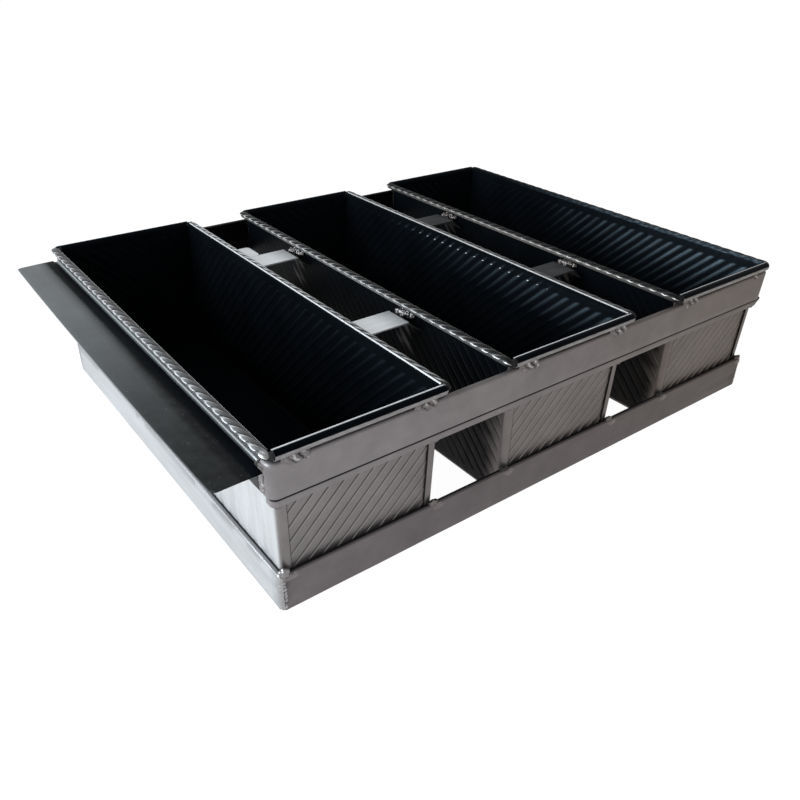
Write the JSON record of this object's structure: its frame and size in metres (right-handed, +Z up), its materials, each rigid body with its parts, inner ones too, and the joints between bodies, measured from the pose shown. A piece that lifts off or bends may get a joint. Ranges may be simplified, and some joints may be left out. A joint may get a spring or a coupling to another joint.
{
  "type": "strapped loaf pan set",
  "caption": "Welded strap set of long ribbed loaf pans with rolled rims, held by folded upper straps, lower rails and cross braces, with a flat wing along one side.",
  "frame": {"origin": "bottom centre of the bounding box, on the floor that the lower rails stand on", "axes": "+X across the pans, away from the wing; +Y along the pans to the rear; +Z up"},
  "size_m": [0.4678, 0.3448, 0.108],
  "materials": {
    "pan_sheet": "black non-stick coating",
    "rim_wire": "drawn wire",
    "strap_sheet": "bare sheet, oversprayed on top",
    "rail_sheet": "bare sheet",
    "brace_sheet": "bare sheet"
  },
  "bodies": {
    "root": {"left_pan_trough": "pan_sheet", "left_pan_front_end": "pan_sheet", "left_pan_rear_end": "pan_sheet", "left_pan_rim_wire": "rim_wire", "middle_pan_trough": "pan_sheet", "middle_pan_front_end": "pan_sheet", "middle_pan_rear_end": "pan_sheet", "middle_pan_rim_wire": "rim_wire", "right_pan_trough": "pan_sheet", "right_pan_front_end": "pan_sheet", "right_pan_rear_end": "pan_sheet", "right_pan_rim_wire": "rim_wire", "upper_front_band": "strap_sheet", "upper_rear_band": "strap_sheet", "upper_right_strap": "strap_sheet", "left_wing_strap": "strap_sheet", "lower_front_rail": "rail_sheet", "lower_rear_rail": "rail_sheet", "lower_left_rail": "rail_sheet", "lower_right_rail": "rail_sheet", "brace_left_front": "brace_sheet", "brace_left_rear": "brace_sheet", "brace_right_front": "brace_sheet", "brace_right_rear": "brace_sheet", "brace_tab": "brace_sheet"}
  },
  "joints": []
}
